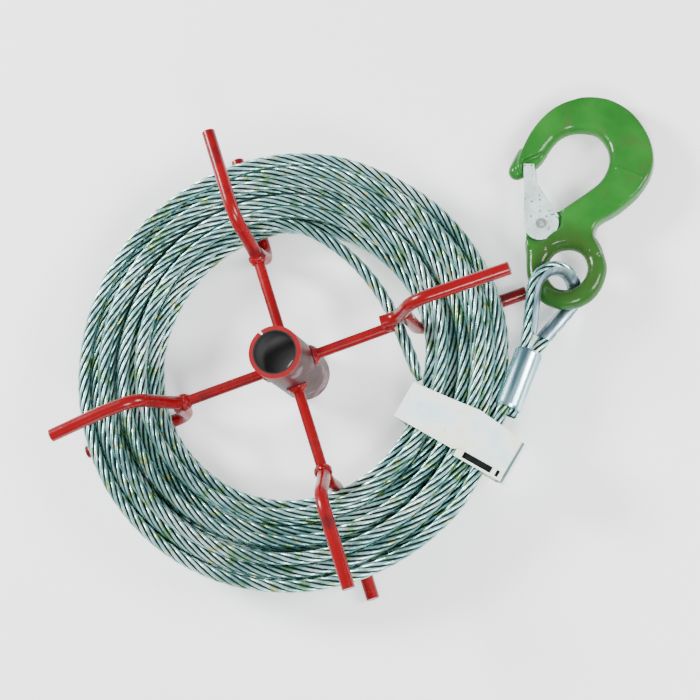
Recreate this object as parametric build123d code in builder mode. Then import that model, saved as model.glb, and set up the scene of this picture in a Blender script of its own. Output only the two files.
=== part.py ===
from build123d import *
import os
from math import cos, pi, radians, sin, sqrt, tan

# Wire rope of a hand rope puller, coiled on a rod reel, with its eye, ferrule and safety hook.
#
# Frame: the reel lies flat. The origin is at the middle of the hub's lower mouth, on the
# plane that the reel rests on. +Z is the hub's axis, and +X points along arm 1.
# All sizes are in millimetres.

# ---- driving dimensions ------------------------------------------------------------------
ROPE_D = 11.5                   # six-strand steel rope
HUB_D = 47.4                    # rolled tube
HUB_WALL = 3.8
LINER_WALL = 1.2                # black sleeve in the tube, behind its seam
HUB_LENGTH = 107.0
SEAM_GAP = 2.4                  # the tube's open seam
SEAM_AZIMUTH = 109.0
SPOKE_D = 10.0
PRONG_D = 12.0
ARM_REACH = 219.0               # from the axis to the end of each prong
FORK_R = 104.0                  # where a spoke ends and its two prongs start
ARM_AZIMUTHS = (0.0, 90.0, 180.0, 270.0)
WELD_LEG = 5.0
WELD_BEAD_R = 8.2

COIL_INNER_R = 121.0
COIL_OUTER_R = 205.0
COIL_BOTTOM_Z = 12.3
COIL_TOP_Z = 59.0
COIL_CORNER_R = 20.0

FERRULE_D = 25.0
FERRULE_BOTTOM = Vector(172.6, -103.1, 39.8)
FERRULE_TOP = Vector(206.1, -59.6, 34.0)
SPLICE_OFFSET = 5.4             # each rope part's distance from the ferrule's axis
LEAD_LENGTH = 9.0
DEAD_END_LENGTH = 5.0
POCKET_R = 13.4                 # room for the ferrule in the coil's outer edge

EYE_TILT = 45.7                 # the eye's plane is turned this far about the eye's own axis
THIMBLE_GAP = 0.25
THIMBLE_WALL = 2.0
THIMBLE_START = 16.0            # from the ferrule, along the eye

BAND_WALL = 1.5
BAND_ORIGIN = Vector(91.9, -70.7, 0.0)
BAND_AZIMUTH = -48.6

HOOK_CENTRE = Vector(261.4, 0.6, 29.5)
HOOK_HEADING = 63.5             # azimuth of the hook's long axis
HOOK_DROP = 6.3                 # its far end lies lower, on the ground
HOOK_THICKNESS = 22.0
EYE_BAR_R = 8.0
EYE_RING_R = 27.2
PIVOT = (-28.5, 38.4)           # the latch's pivot in the hook's plane
LUG_R = 13.8
WEB_HALF = 6.0                  # half the hook's thickness inside the latch
LATCH_GAP = 0.35
LATCH_SHEET = 2.0
PIN_D = 9.5
PIN_BORE_D = 6.2
PIN_CLEARANCE = 0.05
SPRING_WIRE_D = 1.3
SPRING_SLOT = 3.6
SPRING_SLOT_R = 7.4

# ---- derived -----------------------------------------------------------------------------
HUB_R = HUB_D / 2
BORE_R = HUB_R - HUB_WALL
MID_Z = HUB_LENGTH / 2
FRONT_Z = HUB_LENGTH - PRONG_D / 2
REAR_Z = PRONG_D / 2
ROPE_R = ROPE_D / 2
PRONG_R = PRONG_D / 2
SPOKE_R = SPOKE_D / 2


def arm_point(azimuth, r, z, side=0.0):
    """A point in the frame from its place on an arm; side is positive anticlockwise."""
    c = cos(radians(azimuth))
    s = sin(radians(azimuth))
    return Vector(r * c - side * s, r * s + side * c, z)


def arm_plane(azimuth):
    """The upright plane through an arm: its x runs outwards and its y upwards."""
    c = cos(radians(azimuth))
    s = sin(radians(azimuth))
    return Plane(origin=(0, 0, 0), x_dir=(c, s, 0), z_dir=(s, -c, 0))


def route_radii(points):
    """The largest tangent arc that the two runs at each corner of a cord's route allow."""
    radii = []
    for before, corner, after in zip(points, points[1:], points[2:]):
        turn = (corner - before).get_angle(after - corner)
        shorter = min((corner - before).length, (after - corner).length)
        radii.append(0.45 * shorter / tan(radians(turn / 2)))
    return radii


def save(builder, name):
    builder.part.label = name
    export_step(builder.part, f"parts/{name}.step")


os.makedirs("parts", exist_ok=True)

# ---- hub ---------------------------------------------------------------------------------
with BuildPart() as hub_tube:
    with Locations((0, 0, MID_Z)):
        Cylinder(HUB_R, HUB_LENGTH)
        Cylinder(BORE_R, HUB_LENGTH, mode=Mode.SUBTRACT)
    with Locations(arm_point(SEAM_AZIMUTH, HUB_R - HUB_WALL / 2, MID_Z)):
        Box(2 * HUB_WALL, SEAM_GAP, HUB_LENGTH, rotation=(0, 0, SEAM_AZIMUTH), mode=Mode.SUBTRACT)
save(hub_tube, "hub_tube")

with BuildPart() as hub_liner:
    with Locations((0, 0, MID_Z)):
        Cylinder(BORE_R, HUB_LENGTH)
        Cylinder(BORE_R - LINER_WALL, HUB_LENGTH, mode=Mode.SUBTRACT)
save(hub_liner, "hub_liner")

# ---- arms --------------------------------------------------------------------------------
# Routes are (radius, height, side) from the fork outwards; the radii are those of the bends.
FRONT_ROUTE = [(FORK_R, MID_Z, 0), (112, 62, 0), (134, FRONT_Z, 0), (ARM_REACH, FRONT_Z, 0)]
REAR_ROUTE = [(FORK_R, MID_Z, 0), (112, 46, 0), (113.5, REAR_Z, 0), (ARM_REACH, REAR_Z, 0)]
FRONT_BENDS = [18, 26]
REAR_BENDS = [12, 16]
# Arm 1: the front prong is lapped on top of its shorter spoke, and the rear prong hangs from it.
LAP_Z = MID_Z + SPOKE_R + PRONG_R
LAP_SPOKE_R = 100.0
LAP_FRONT_ROUTE = [(92, LAP_Z, 4), (108, LAP_Z, 3.4), (129, FRONT_Z, 2), (ARM_REACH, FRONT_Z, 0)]
LAP_REAR_ROUTE = [(114.8, LAP_Z + 8, 2.5), (114.8, REAR_Z, 1), (ARM_REACH, REAR_Z, 0)]
LAP_FRONT_BENDS = [16, 26]
LAP_REAR_BENDS = [16]
# Arm 3 is bowed sideways a little, as bent by hand.
BOWED_ROUTE = [(FORK_R, MID_Z, 0), (112, 62, -1), (136, FRONT_Z, -5),
               (168, FRONT_Z, -4.4), (ARM_REACH, FRONT_Z, 0)]
BOWED_BENDS = [18, 22, 60]


def rod(azimuth, route, bends, diameter):
    """A round bar bent along a route on one arm."""
    points = [arm_point(azimuth, r, z, side) for r, z, side in route]
    with BuildPart() as bar:
        with BuildLine():
            axis_line = FilletPolyline(*points, radius=bends)
        with BuildSketch(Plane(origin=axis_line @ 0, z_dir=axis_line % 0)):
            Circle(diameter / 2)
        sweep(path=axis_line)
        chamfer(bar.edges().filter_by(GeomType.CIRCLE).sort_by_distance(points[-1])[0], 0.8)
    return bar


spokes = []
front_prongs = []
rear_prongs = []
for number, azimuth in enumerate(ARM_AZIMUTHS, start=1):
    lapped = number == 1
    spoke_end = LAP_SPOKE_R if lapped else FORK_R
    with BuildPart() as spoke:
        middle = arm_point(azimuth, spoke_end / 2, MID_Z)
        with Locations(Plane(origin=middle, z_dir=arm_point(azimuth, 1, 0))):
            Cylinder(SPOKE_R, spoke_end)
        Cylinder(HUB_R, 3 * HUB_LENGTH, mode=Mode.SUBTRACT)
    spokes.append(spoke)
    save(spoke, f"spoke_{number}")

    if lapped:
        front_prong = rod(azimuth, LAP_FRONT_ROUTE, LAP_FRONT_BENDS, PRONG_D)
        rear_prong = rod(azimuth, LAP_REAR_ROUTE, LAP_REAR_BENDS, PRONG_D)
        with rear_prong:
            add(front_prong.part, mode=Mode.SUBTRACT)
    else:
        bowed = number == 3
        front_route = BOWED_ROUTE if bowed else FRONT_ROUTE
        front_bends = BOWED_BENDS if bowed else FRONT_BENDS
        front_prong = rod(azimuth, front_route, front_bends, PRONG_D)
        rear_prong = rod(azimuth, REAR_ROUTE, REAR_BENDS, PRONG_D)
        with front_prong:
            split(bisect_by=Plane.XY.offset(MID_Z), keep=Keep.TOP)
            add(spoke.part, mode=Mode.SUBTRACT)
        with rear_prong:
            split(bisect_by=Plane.XY.offset(MID_Z), keep=Keep.BOTTOM)
            add(spoke.part, mode=Mode.SUBTRACT)
    front_prongs.append(front_prong)
    rear_prongs.append(rear_prong)
    save(front_prong, f"front_prong_{number}")
    save(rear_prong, f"rear_prong_{number}")

with BuildPart() as hub_welds:
    for azimuth, spoke in zip(ARM_AZIMUTHS, spokes):
        with BuildSketch(arm_plane(azimuth)):
            with Locations((HUB_R, MID_Z)):
                Polygon((-2, 0), (WELD_LEG, 0), (WELD_LEG, SPOKE_R), (0, SPOKE_R + WELD_LEG),
                        (-2, SPOKE_R + WELD_LEG), align=None)
        revolve(axis=Axis((0, 0, MID_Z), arm_point(azimuth, 1, 0)))
        add(spoke.part, mode=Mode.SUBTRACT)
    Cylinder(HUB_R, 3 * HUB_LENGTH, mode=Mode.SUBTRACT)
save(hub_welds, "hub_welds")

with BuildPart() as fork_welds:
    for number, azimuth in enumerate(ARM_AZIMUTHS):
        lapped = number == 0
        height = MID_Z + SPOKE_R if lapped else MID_Z
        with Locations(arm_point(azimuth, LAP_SPOKE_R - 3 if lapped else FORK_R, height, 2 if lapped else 0)):
            Sphere(WELD_BEAD_R - 1 if lapped else WELD_BEAD_R)
    for piece in spokes + front_prongs + rear_prongs:
        add(piece.part, mode=Mode.SUBTRACT)
save(fork_welds, "fork_welds")

# ---- rope eye: ferrule, splice, eye and thimble -------------------------------------------
ferrule_axis = (FERRULE_TOP - FERRULE_BOTTOM).normalized()
FERRULE_LENGTH = (FERRULE_TOP - FERRULE_BOTTOM).length
eye_axis = Vector(0.66, 0.75, -0.02).normalized()
level_side = Vector(0, 0, 1).cross(eye_axis).normalized()
eye_side = level_side * cos(radians(EYE_TILT)) + eye_axis.cross(level_side) * sin(radians(EYE_TILT))
eye_plane = Plane(origin=FERRULE_TOP, x_dir=eye_axis, z_dir=eye_axis.cross(eye_side))
splice_plane = Plane(origin=FERRULE_BOTTOM, x_dir=eye_side - ferrule_axis * eye_side.dot(ferrule_axis),
                     z_dir=ferrule_axis)

with BuildPart() as rope_splice:
    with BuildSketch(splice_plane):
        with Locations((-SPLICE_OFFSET, 0), (SPLICE_OFFSET, 0)):
            Circle(ROPE_R)
    extrude(amount=FERRULE_LENGTH)
save(rope_splice, "rope_splice")

with BuildPart() as ferrule:
    with BuildSketch(splice_plane):
        Circle(FERRULE_D / 2)
    extrude(amount=FERRULE_LENGTH)
    chamfer(ferrule.edges().filter_by(GeomType.CIRCLE), 2.2, 1.0)
    add(rope_splice.part, mode=Mode.SUBTRACT)
save(ferrule, "ferrule")

# The eye's route in its own plane, along the axis and across it.
EYE_ROUTE = [(0, 5.4), (20, 10.8), (57.6, 25.7), (75.1, 17.8), (82.3, 0),
             (75.1, -17.8), (57.6, -25.7), (20, -10.8), (0, -5.4)]
eye_points = [eye_plane.from_local_coords(Vector(along, across, 0)) for along, across in EYE_ROUTE]
eye_radii = route_radii(eye_points)
with BuildPart() as rope_eye:
    with BuildLine():
        eye_line = FilletPolyline(*eye_points, radius=eye_radii)
    with BuildSketch(Plane(origin=eye_line @ 0, z_dir=eye_line % 0)):
        Circle(ROPE_R)
    sweep(path=eye_line)
save(rope_eye, "rope_eye")

# The thimble is a trough between the rope and the hook's eye; it stops short of the ferrule.
TROUGH_R = ROPE_R + THIMBLE_GAP
thimble_start = eye_plane.from_local_coords(Vector(THIMBLE_START, 0, 0))
with BuildPart() as thimble:
    with BuildSketch(Plane(origin=eye_line @ 0, x_dir=eye_plane.z_dir, z_dir=eye_line % 0)):
        Circle(TROUGH_R + THIMBLE_WALL)
        Circle(TROUGH_R, mode=Mode.SUBTRACT)
        with Locations((0, -1.0)):
            Rectangle(4 * TROUGH_R, 4 * TROUGH_R, align=(Align.CENTER, Align.MAX), mode=Mode.SUBTRACT)
    sweep(path=eye_line)
    split(bisect_by=Plane(origin=thimble_start, z_dir=eye_axis), keep=Keep.TOP)
save(thimble, "thimble")

# ---- rope: lead, dead end, coil, tail ------------------------------------------------------
with BuildPart() as rope_lead:
    with BuildSketch(splice_plane):
        with Locations((SPLICE_OFFSET, 0)):
            Circle(ROPE_R)
    extrude(amount=-LEAD_LENGTH)
save(rope_lead, "rope_lead")

with BuildPart() as rope_dead_end:
    with BuildSketch(splice_plane):
        with Locations((-SPLICE_OFFSET, 0)):
            Circle(ROPE_R)
    extrude(amount=-DEAD_END_LENGTH)
    add(rope_lead.part, mode=Mode.SUBTRACT)
save(rope_dead_end, "rope_dead_end")

with BuildPart() as rope_coil:
    with BuildSketch(Plane.XZ):
        with Locations(((COIL_INNER_R + COIL_OUTER_R) / 2, (COIL_BOTTOM_Z + COIL_TOP_Z) / 2)):
            RectangleRounded(COIL_OUTER_R - COIL_INNER_R, COIL_TOP_Z - COIL_BOTTOM_Z, COIL_CORNER_R)
    revolve(axis=Axis.Z)
    with BuildSketch(splice_plane.offset(-LEAD_LENGTH)):
        Circle(POCKET_R)
    extrude(amount=LEAD_LENGTH + FERRULE_LENGTH, mode=Mode.SUBTRACT)
save(rope_coil, "rope_coil")

# The free inner end crosses under arm 1 and stops by the band.
TAIL_ROUTE = [Vector(62, 106.5, 40), Vector(80.5, 79, 39), Vector(93, 50, 38),
              Vector(100.3, 19, 38), Vector(103.6, -13, 38), Vector(104.6, -36.5, 38.5)]
TIP_LENGTH = 15.0
TIP_END_D = 6.0
tail_radii = route_radii(TAIL_ROUTE)
with BuildPart() as rope_tail:
    with BuildLine():
        tail_line = FilletPolyline(*TAIL_ROUTE, radius=tail_radii)
    with BuildSketch(Plane(origin=tail_line @ 0, z_dir=tail_line % 0)):
        Circle(ROPE_R)
    sweep(path=tail_line)
save(rope_tail, "rope_tail")

tip_plane = Plane(origin=tail_line @ 1, z_dir=tail_line % 1)
with BuildPart() as rope_tip:
    with BuildSketch(tip_plane):
        Circle(ROPE_R)
    with BuildSketch(tip_plane.offset(TIP_LENGTH)):
        Circle(TIP_END_D / 2)
    loft()
save(rope_tip, "rope_tip")

# ---- retaining band ------------------------------------------------------------------------
# Its x runs across the bundle, outwards; its y points away from the ferrule.
band_axis = Vector(cos(radians(BAND_AZIMUTH)), sin(radians(BAND_AZIMUTH)), 0)
band_across = Vector(band_axis.Y, -band_axis.X, 0)
band_section_plane = Plane(origin=BAND_ORIGIN, x_dir=band_axis, z_dir=band_across)
band_plan_plane = Plane(origin=BAND_ORIGIN, x_dir=band_axis, z_dir=(0, 0, -1))
INNER_TOP = (-3, 62.5)
FACE_SLOPE = 6 / 114.5          # the face rises outwards
LAYER_START = 62                # where the inner layer's end lies, under the face
OUTER_END = 116.5
REAR_OUTER_END = 96
FACE_END = 111
BAND_CORNER_R = 4.0
# Seen from the front, along and across the bundle: the face, and the layer under it.
FACE_PLAN = [(-10, 17.2), (-10, -17.5), (0, -17.5), (33.5, -20.6), (62.8, -24), (89.5, -21.3),
             (108.2, -18), (FACE_END, 18), (106, 13.2), (66, 13.2), (58, 17.2)]
LAYER_PLAN = [(-10, 17.2), (-10, -17.5), (130, -17.5), (130, 21.8), (58, 21.8), (58, 17.2)]
SLOT = (69, 106, 14.0, 19.8)    # in the inner layer: start, end, and its two sides
CLIP = (98.5, 102.5)
PLATE_WALL = 0.8
BAND_REACH = 40.0               # more than half the band's width
LAYER_DEPTH = 8.0               # a cut this deep goes through the front layers only


def under_face(along, depth):
    """A point of the band's section at a depth under its front face."""
    return (along, INNER_TOP[1] + (along - INNER_TOP[0]) * FACE_SLOPE - depth)


with BuildPart() as band_face:
    with BuildSketch(band_section_plane):
        Polygon(under_face(INNER_TOP[0], 0), under_face(FACE_END, 0), under_face(FACE_END, BAND_WALL),
                under_face(INNER_TOP[0], BAND_WALL), align=None)
    extrude(amount=BAND_REACH, both=True)
    with BuildSketch(band_plan_plane):
        Polygon(*FACE_PLAN, align=None)
    extrude(amount=2 * HUB_LENGTH, both=True, mode=Mode.INTERSECT)

with BuildPart() as retaining_band:
    with BuildSketch(band_section_plane) as band_section:
        rear_z = COIL_BOTTOM_Z - BAND_WALL
        Polygon((INNER_TOP[0], rear_z), under_face(INNER_TOP[0], BAND_WALL),
                under_face(OUTER_END, BAND_WALL), (REAR_OUTER_END, rear_z), align=None)
        fillet(band_section.vertices().sort_by(Axis(BAND_ORIGIN, band_axis))[1:], BAND_CORNER_R)
        offset(amount=-BAND_WALL, mode=Mode.SUBTRACT)
        # The front is open from the inner wall to the inner layer's end.
        Polygon(under_face(INNER_TOP[0] + BAND_WALL, 0), under_face(LAYER_START, 0),
                under_face(LAYER_START, LAYER_DEPTH), under_face(INNER_TOP[0] + BAND_WALL, LAYER_DEPTH),
                align=None, mode=Mode.SUBTRACT)
    extrude(amount=BAND_REACH, both=True)
    with BuildSketch(band_plan_plane):
        Polygon(*LAYER_PLAN, align=None)
    extrude(amount=2 * HUB_LENGTH, both=True, mode=Mode.INTERSECT)
    with BuildSketch(band_plan_plane.offset(LAYER_DEPTH - INNER_TOP[1])):
        Polygon((SLOT[0], SLOT[2]), (SLOT[1], SLOT[2]), (SLOT[1], SLOT[3]), (SLOT[0], SLOT[3]), align=None)
    extrude(amount=-HUB_LENGTH, mode=Mode.SUBTRACT)
    add(band_face.part)
save(retaining_band, "retaining_band")

# A plate behind the slot, with a small clip on it that crosses the slot.
with BuildPart() as band_clip:
    with BuildSketch(band_section_plane.offset(SLOT[2])):
        Polygon(under_face(CLIP[0], BAND_WALL), under_face(CLIP[1], BAND_WALL),
                under_face(CLIP[1], 2 * BAND_WALL), under_face(CLIP[0], 2 * BAND_WALL), align=None)
        Polygon(under_face(SLOT[0] - 1, 2 * BAND_WALL), under_face(SLOT[1] + 1, 2 * BAND_WALL),
                under_face(SLOT[1] + 1, 2 * BAND_WALL + PLATE_WALL),
                under_face(SLOT[0] - 1, 2 * BAND_WALL + PLATE_WALL), align=None)
    extrude(amount=SLOT[3] - SLOT[2])
save(band_clip, "band_clip")

# ---- safety hook ---------------------------------------------------------------------------
# Its own plane has its origin at the middle of the eye, x to the right and y towards the bowl.
heading = radians(HOOK_HEADING)
drop = radians(HOOK_DROP)
hook_length_axis = Vector(cos(heading) * cos(drop), sin(heading) * cos(drop), -sin(drop))
hook_right = Vector(sin(heading), -cos(heading), 0)
hook_plane = Plane(origin=HOOK_CENTRE, x_dir=hook_right, z_dir=hook_right.cross(hook_length_axis))
HALF = HOOK_THICKNESS / 2
BOWL_ROUNDING = 9.0
OUTER_ROUNDING = 3.0
# The back and the shoulder, from the point's outer side round to the waist.
BACK = [(-59.5, 90), (-57.6, 106.2), (-48.1, 133.6), (-37.8, 147.8), (-21.6, 159.4), (-3.1, 165),
        (16.4, 163.2), (34, 155), (48.2, 141.4), (57.8, 126.2), (63, 105), (55.7, 79.7), (44.5, 64.4),
        (32.7, 53.2), (20.5, 41.5), (19.5, 34), (24.5, 24.5)]
# The bowl, from beside the latch's lug round to the point's inner side.
BOWL = [(-16.1, 52.1), (-4.7, 62.6), (7.3, 73.8), (17.7, 85.6), (22.1, 97.6), (21.5, 110.7),
        (16.6, 120.5), (5.7, 129.8), (-7, 131.4), (-18.9, 128.5), (-27.5, 121.2), (-35, 107.3), (-42.5, 94.9)]
POINT_EDGE = (-54, 83.8)
NUB = (-60, 89)
NUB_R = 8.0
BODY_ARC_R = 24.0               # where the hook's body ends round the eye
RECESS_R = 18.0
NECK_R = 9.6                    # where the nub's tapered neck meets the point
NECK = (-52.5, 107)
STRUT = [(-33.2, 24), (-26.8, -8)]
STRUT_R = 9.0
# The point is thinned here, where the latch's cheeks close over it.
LATCH_SEAT = [(-54.4, 78), (-30, 78), (-30, 112), (-54.4, 97)]

with BuildPart() as hook_body:
    with BuildSketch(hook_plane.offset(-HALF)):
        with BuildLine():
            back = Spline(*BACK)
            bowl = Spline(*BOWL)
            Polyline(back @ 1, (30, 15), (-30, 15), (-38, 14), (-42.3, 32), (-42.3, 38.4),
                     (-38.3, 48.1), (-28.5, 52.2), bowl @ 0)
            Polyline(bowl @ 1, POINT_EDGE, back @ 0)
        make_face()
    extrude(amount=HOOK_THICKNESS)
    bowl_middle = hook_plane.from_local_coords(Vector(21.8, 104, 0))
    back_middle = hook_plane.from_local_coords(Vector(60, 116, 0))
    flat_faces = hook_body.faces().filter_by(hook_plane)
    fillet(flat_faces.edges().sort_by_distance(bowl_middle)[:2], BOWL_ROUNDING)
    flat_faces = hook_body.faces().filter_by(hook_plane)
    fillet(flat_faces.edges().sort_by_distance(back_middle)[:2], OUTER_ROUNDING)
    # The eye: a round bar in a ring, where the body stops.
    with BuildSketch(hook_plane.offset(-HALF)):
        Circle(BODY_ARC_R)
    extrude(amount=HOOK_THICKNESS, mode=Mode.SUBTRACT)
    with Locations(hook_plane):
        Torus(EYE_RING_R, EYE_BAR_R)
        # The strut down the eye's left side, and the nub on its tapered neck.
        for start, end, start_r, end_r in ((STRUT[0], STRUT[1], STRUT_R, NUB_R), (NUB, NECK, NUB_R, NECK_R)):
            reach = Vector(end[0] - start[0], end[1] - start[1], 0)
            with Locations(Plane(origin=(start[0] + reach.X / 2, start[1] + reach.Y / 2, 0), z_dir=reach)):
                Cone(start_r, end_r, reach.length)
        with Locations((STRUT[1][0], STRUT[1][1], 0), (NUB[0], NUB[1], 0)):
            Sphere(NUB_R, rotation=(90, 0, 0))
    # The lug between the latch's cheeks, and the thin point that they close over.
    for side in (1, -1):
        with BuildSketch(hook_plane.offset(side * WEB_HALF)):
            with Locations(PIVOT):
                Circle(RECESS_R)
                Polygon((0, 0), (RECESS_R, 0), (RECESS_R, 9), (16, 25), (0, 26), align=None)
            Polygon(*LATCH_SEAT, align=None)
        extrude(amount=side * HOOK_THICKNESS, mode=Mode.SUBTRACT)
    with BuildSketch(hook_plane.offset(-WEB_HALF)):
        with Locations(PIVOT):
            Circle(LUG_R)
    extrude(amount=2 * WEB_HALF)
    # The pin's hole, and the slot for the spring.
    with BuildSketch(hook_plane.offset(-HALF)):
        with Locations(PIVOT):
            Circle(PIN_D / 2)
    extrude(amount=HOOK_THICKNESS, mode=Mode.SUBTRACT)
    with BuildSketch(hook_plane.offset(-SPRING_SLOT / 2)):
        with Locations(PIVOT):
            Circle(SPRING_SLOT_R)
            Polygon((-SPRING_SLOT_R, 0), (SPRING_SLOT_R, 0), (SPRING_SLOT_R, 20), (-SPRING_SLOT_R, 20),
                    align=None)
    extrude(amount=SPRING_SLOT, mode=Mode.SUBTRACT)
save(hook_body, "hook_body")

# ---- latch: a folded channel on a hollow pin, with its spring -------------------------------
LATCH_INNER = WEB_HALF + LATCH_GAP
LATCH_OUTER = LATCH_INNER + LATCH_SHEET
LATCH_BASE_R = 15.5
LATCH_CHEEK = [(-43.95, 38.4), (-53.5, 94), (-44, 94.8), (-40.1, 79.2), (-13.9, 46.9), (-28.5, 36)]
LATCH_WEB = [(-30.4, 67.3), (-40.1, 79.2), (-43.2, 91.5), (-45.2, 91), (-42, 78.2), (-31.9, 65.9)]
with BuildPart() as latch:
    with BuildSketch(hook_plane.offset(-LATCH_OUTER)):
        Polygon(*LATCH_CHEEK, align=None)
        with Locations(PIVOT):
            Circle(LATCH_BASE_R)
    extrude(amount=2 * LATCH_OUTER)
    with BuildSketch(hook_plane.offset(-LATCH_INNER)):
        Rectangle(300, 300)
    extrude(amount=2 * LATCH_INNER, mode=Mode.SUBTRACT)
    with BuildSketch(hook_plane.offset(-LATCH_OUTER)):
        Polygon(*LATCH_WEB, align=None)
    extrude(amount=2 * LATCH_OUTER)
    with BuildSketch(hook_plane.offset(-HALF)):
        with Locations(PIVOT):
            Circle(PIN_D / 2 + PIN_CLEARANCE)
    extrude(amount=HOOK_THICKNESS, mode=Mode.SUBTRACT)
save(latch, "latch")

PIN_OVERHANG = 0.9
with BuildPart() as latch_pin:
    with BuildSketch(hook_plane.offset(-LATCH_OUTER - PIN_OVERHANG)):
        with Locations(PIVOT):
            Circle(PIN_D / 2)
            Circle(PIN_BORE_D / 2, mode=Mode.SUBTRACT)
    extrude(amount=2 * (LATCH_OUTER + PIN_OVERHANG))
save(latch_pin, "latch_pin")

# Two close turns on the pin, one leg against the lug's slot and one up behind the latch's web.
SPRING_TURN_R = PIN_D / 2 + SPRING_WIRE_D / 2 + 0.1
with BuildPart() as latch_spring:
    for level in (-0.4 * SPRING_WIRE_D, 0.4 * SPRING_WIRE_D):
        with Locations(hook_plane.offset(level)):
            with Locations((PIVOT[0], PIVOT[1], 0)):
                Torus(SPRING_TURN_R, SPRING_WIRE_D / 2)
    leg_start = hook_plane.from_local_coords(Vector(PIVOT[0] - SPRING_TURN_R, PIVOT[1], 0))
    leg_end = hook_plane.from_local_coords(Vector(-35.2, 66, 0))
    leg_axis = (leg_end - leg_start).normalized()
    with BuildSketch(Plane(origin=leg_start, z_dir=leg_axis)):
        Circle(SPRING_WIRE_D / 2)
    extrude(amount=(leg_end - leg_start).length)
save(latch_spring, "latch_spring")

# ---- the cord's tubes: bends and volumes ----------------------------------------------------
for name, line, tube, radii in (("eye", eye_line, rope_eye, eye_radii),
                                ("tail", tail_line, rope_tail, tail_radii)):
    swept = pi * ROPE_R**2 * line.length
    print(name, "bend radii:", [round(radius, 1) for radius in radii])
    print(name, "volume over section times length:", round(tube.part.volume / swept, 4))
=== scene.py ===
"""Wire rope on a red rod reel, with its eye, ferrule, thimble and green safety hook.

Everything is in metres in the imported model's frame. The shapes are worked out in millimetres
and scaled by MM when a mesh is made.
"""
import bpy
import bmesh
import math
import random
from mathutils import Matrix, Vector, noise


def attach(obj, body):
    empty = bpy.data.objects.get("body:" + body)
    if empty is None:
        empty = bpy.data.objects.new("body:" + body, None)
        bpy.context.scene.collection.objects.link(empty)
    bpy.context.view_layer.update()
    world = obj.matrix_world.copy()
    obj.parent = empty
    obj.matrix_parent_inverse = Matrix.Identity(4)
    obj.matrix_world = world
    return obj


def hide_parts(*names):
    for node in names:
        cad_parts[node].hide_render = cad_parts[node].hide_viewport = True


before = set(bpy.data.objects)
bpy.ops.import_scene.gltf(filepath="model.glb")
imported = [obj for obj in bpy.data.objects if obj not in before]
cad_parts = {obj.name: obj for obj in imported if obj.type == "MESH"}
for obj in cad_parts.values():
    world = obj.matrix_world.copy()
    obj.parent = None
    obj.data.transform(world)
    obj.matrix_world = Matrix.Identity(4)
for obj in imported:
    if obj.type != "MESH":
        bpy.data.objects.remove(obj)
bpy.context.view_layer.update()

MM = 0.001
TAU = 2 * math.pi
ROOT = "reel_and_rope"
HOOK = "hook"

# ---- camera ---------------------------------------------------------------------------------
CAMERA_AT = Vector((359.6, -526.2, 1931.9)) * MM
CAMERA_AXES = ((0.92836, -0.29149, -0.23063),       # to the picture's right
               (0.33830, 0.91966, 0.19945),         # to its top
               (0.15396, -0.26318, 0.95238))        # towards the camera
LENS = 113.14
SENSOR_WIDTH = 36
FARTHEST = 20                                       # metres

# ---- sizes in millimetres; where a piece lies is as in the CAD ------------------------------
ROPE_D = 11.5
ROPE_R = ROPE_D / 2
LAY = 80.0                      # one full twist of the strands
STRANDS = 6
STRAND_ANGLES = (-30, -15, 0, 15)   # where each strand's outline has its points
STRAND_HALF_ANGLE = 30
TIP_TAPER = 17.0                # length of the thin tip
TIP_THINNESS = 0.52             # its end's share of the rope's diameter
SECTION_STEP = 5.4              # between the rope mesh's sections
LINE_RESOLUTION = 14            # points of the NURBS line for each control point
FERRULE_BOTTOM = Vector((172.6, -103.1, 39.8))
FERRULE_TOP = Vector((206.1, -59.6, 34.0))
SPLICE_OFFSET = 5.4             # each rope part's distance from the ferrule's axis
DEAD_END_LENGTH = 5.5           # half a millimetre over the CAD's
EYE_TILT = math.radians(45.7)
HOOK_CENTRE = Vector((261.4, 0.6, 29.5))    # of its eye
HOOK_HEADING = math.radians(63.5)           # of its long axis
HOOK_DROP = math.radians(6.3)
LATCH_PIVOT = Vector((-28.5, 38.4))         # in the hook's plane
LATCH_SEAT = Vector((-46.0, 88.0))
ARM_AZIMUTHS = (0, 90, 180, 270)
COIL_BOTTOM = 12.3
COIL_TOP = 60.0                 # a millimetre over the CAD's


# ---- small helpers --------------------------------------------------------------------------
def new_mesh(name, verts, faces):
    """A smooth-shaded object in metres from points in millimetres."""
    mesh = bpy.data.meshes.new(name)
    mesh.from_pydata([Vector(v) * MM for v in verts], [], faces)
    mesh.validate()
    mesh.polygons.foreach_set("use_smooth", [True] * len(mesh.polygons))
    obj = bpy.data.objects.new(name, mesh)
    bpy.context.scene.collection.objects.link(obj)
    return obj


def smoothstep(x):
    """From 0 to 1 as x does, with level ends."""
    x = min(max(x, 0.0), 1.0)
    return x * x * (3 - 2 * x)


def bump_at(angle, centre, width):
    """A smooth bump of height 1 round an azimuth, all in degrees."""
    away = (angle - centre + 180) % 360 - 180
    return math.exp(-(away / width) ** 2)


# ---- camera and world -----------------------------------------------------------------------
def make_camera():
    """The camera, looking down at the reel from the front."""
    camera = bpy.data.cameras.new("camera")
    camera.lens = LENS
    camera.sensor_width = SENSOR_WIDTH
    camera.clip_end = FARTHEST
    obj = bpy.data.objects.new("camera", camera)
    right, up, back = (Vector(axis) for axis in CAMERA_AXES)
    turn = Matrix((right, up, back)).transposed().to_4x4()
    obj.matrix_world = Matrix.Translation(CAMERA_AT) @ turn
    bpy.context.scene.collection.objects.link(obj)
    bpy.context.scene.camera = obj


make_camera()

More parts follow.
